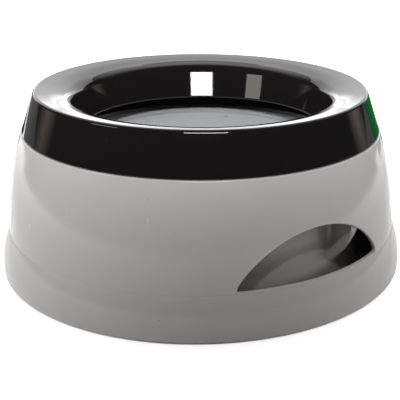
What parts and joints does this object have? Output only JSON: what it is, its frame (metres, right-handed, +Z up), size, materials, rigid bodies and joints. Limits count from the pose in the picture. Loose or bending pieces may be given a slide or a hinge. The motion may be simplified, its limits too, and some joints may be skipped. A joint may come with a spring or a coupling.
{
  "type": "no spill dog water bowl",
  "caption": "Non-tip pet water bowl with a plug-on splash ring, a floating slow-drink platform with a turnable flow valve, hand holes and non-slip feet.",
  "frame": {"origin": "centre of the foot, on the floor", "axes": "+Z up along the bowl's axis; the two hand holes face -Y and +Y"},
  "size_m": [0.24, 0.24, 0.1037],
  "materials": {
    "grey_shell": "smooth gloss, injection moulded",
    "black_gloss": "high gloss, injection moulded",
    "grey_platform": "satin, injection moulded",
    "grey_valve": "satin, injection moulded",
    "seal_rubber": "smooth soft rubber",
    "pad_rubber": "fine grained soft rubber"
  },
  "bodies": {
    "base": {"base_bowl": "grey_shell", "grip_pad_1": "pad_rubber", "grip_pad_2": "pad_rubber", "grip_pad_3": "pad_rubber", "grip_pad_4": "pad_rubber"},
    "ring": {"splash_ring": "black_gloss", "rim_seal": "seal_rubber"},
    "platform": {"platform_top": "grey_platform", "platform_float": "grey_platform"},
    "valve": {"flow_valve": "grey_valve"}
  },
  "joints": [
    {"name": "ring_lift", "type": "slide", "parent": "base", "child": "ring", "axis": [0, 0, 1], "range_m": [0, 0.03]},
    {"name": "platform_rise", "type": "slide", "parent": "base", "child": "platform", "axis": [0, 0, 1], "range_m": [0, 0.0125]},
    {"name": "valve_turn", "type": "hinge", "parent": "platform", "child": "valve", "pos_m": [0, 0, 0.0617], "axis": [0, 0, 1], "range_deg": [0, 45]}
  ]
}
